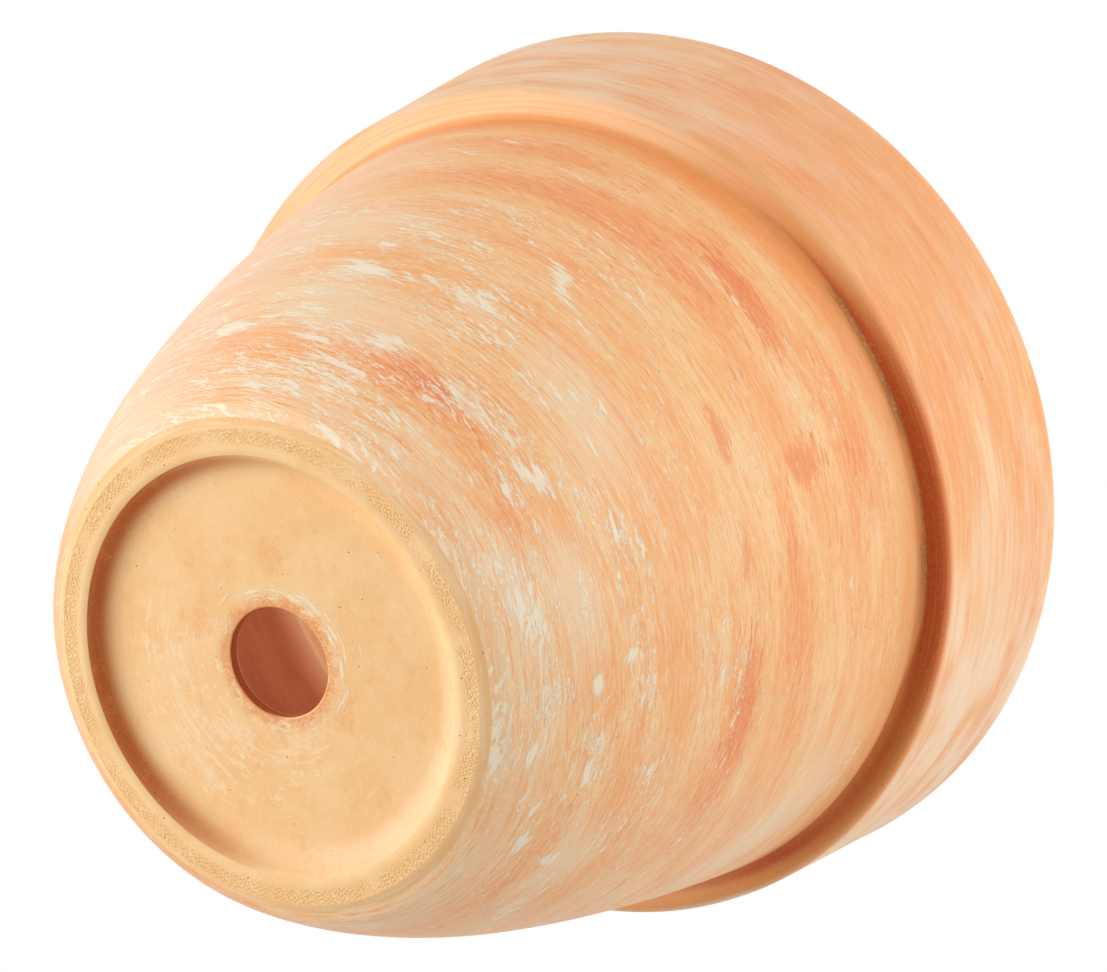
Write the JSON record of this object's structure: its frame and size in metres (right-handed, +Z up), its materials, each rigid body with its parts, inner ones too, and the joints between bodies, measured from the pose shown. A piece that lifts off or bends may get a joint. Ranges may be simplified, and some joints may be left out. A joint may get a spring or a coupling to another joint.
{
  "type": "flower pot",
  "caption": "Round terracotta flower pot with a convex tapering wall, a thick overhanging rim band, a recessed foot ring and a central drain hole.",
  "frame": {"origin": "centre of the drain hole, in the plane of the foot ring that the pot stands on", "axes": "+Z up along the pot's axis, from the foot to the rim; X and Y are any two directions square to it, because the pot is round"},
  "size_m": [0.27, 0.27, 0.226],
  "materials": {
    "terracotta": "unglazed and matt, with streaks of lime bloom"
  },
  "bodies": {
    "root": {"pot": "terracotta"}
  },
  "joints": []
}
